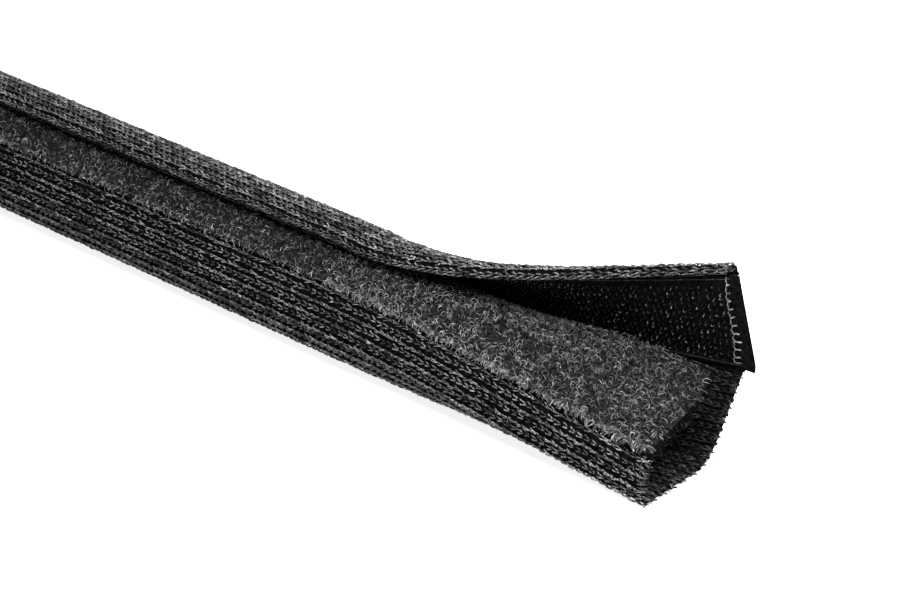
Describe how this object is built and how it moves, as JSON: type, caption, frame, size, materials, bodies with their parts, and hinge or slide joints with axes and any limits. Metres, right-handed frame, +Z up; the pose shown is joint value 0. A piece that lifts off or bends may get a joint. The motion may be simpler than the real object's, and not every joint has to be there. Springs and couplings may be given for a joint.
{
  "type": "hook and loop cable sleeve",
  "caption": "Ribbed knit sleeve closed along its length by a hook tape and a loop tape, peeled open at one end, for bundling cables.",
  "frame": {"origin": "on the surface it lies on, under the middle of its bounding box", "axes": "+X along the sleeve towards the peeled end, +Y to the back, where the flap is hinged, +Z up"},
  "size_m": [0.2028, 0.0316, 0.036],
  "materials": {
    "knit": "matt ribbed polyester knit",
    "loop_pile": "fuzzy loop pile",
    "hook_tape": "woven tape with nylon hooks",
    "thread": "polyester sewing thread"
  },
  "bodies": {
    "root": {"knit_sleeve": "knit", "loop_tape": "loop_pile", "hook_tape": "hook_tape", "loop_seam_inner": "thread", "loop_seam_outer": "thread", "hook_seam_root": "thread", "hook_seam_edge": "thread"}
  },
  "joints": []
}
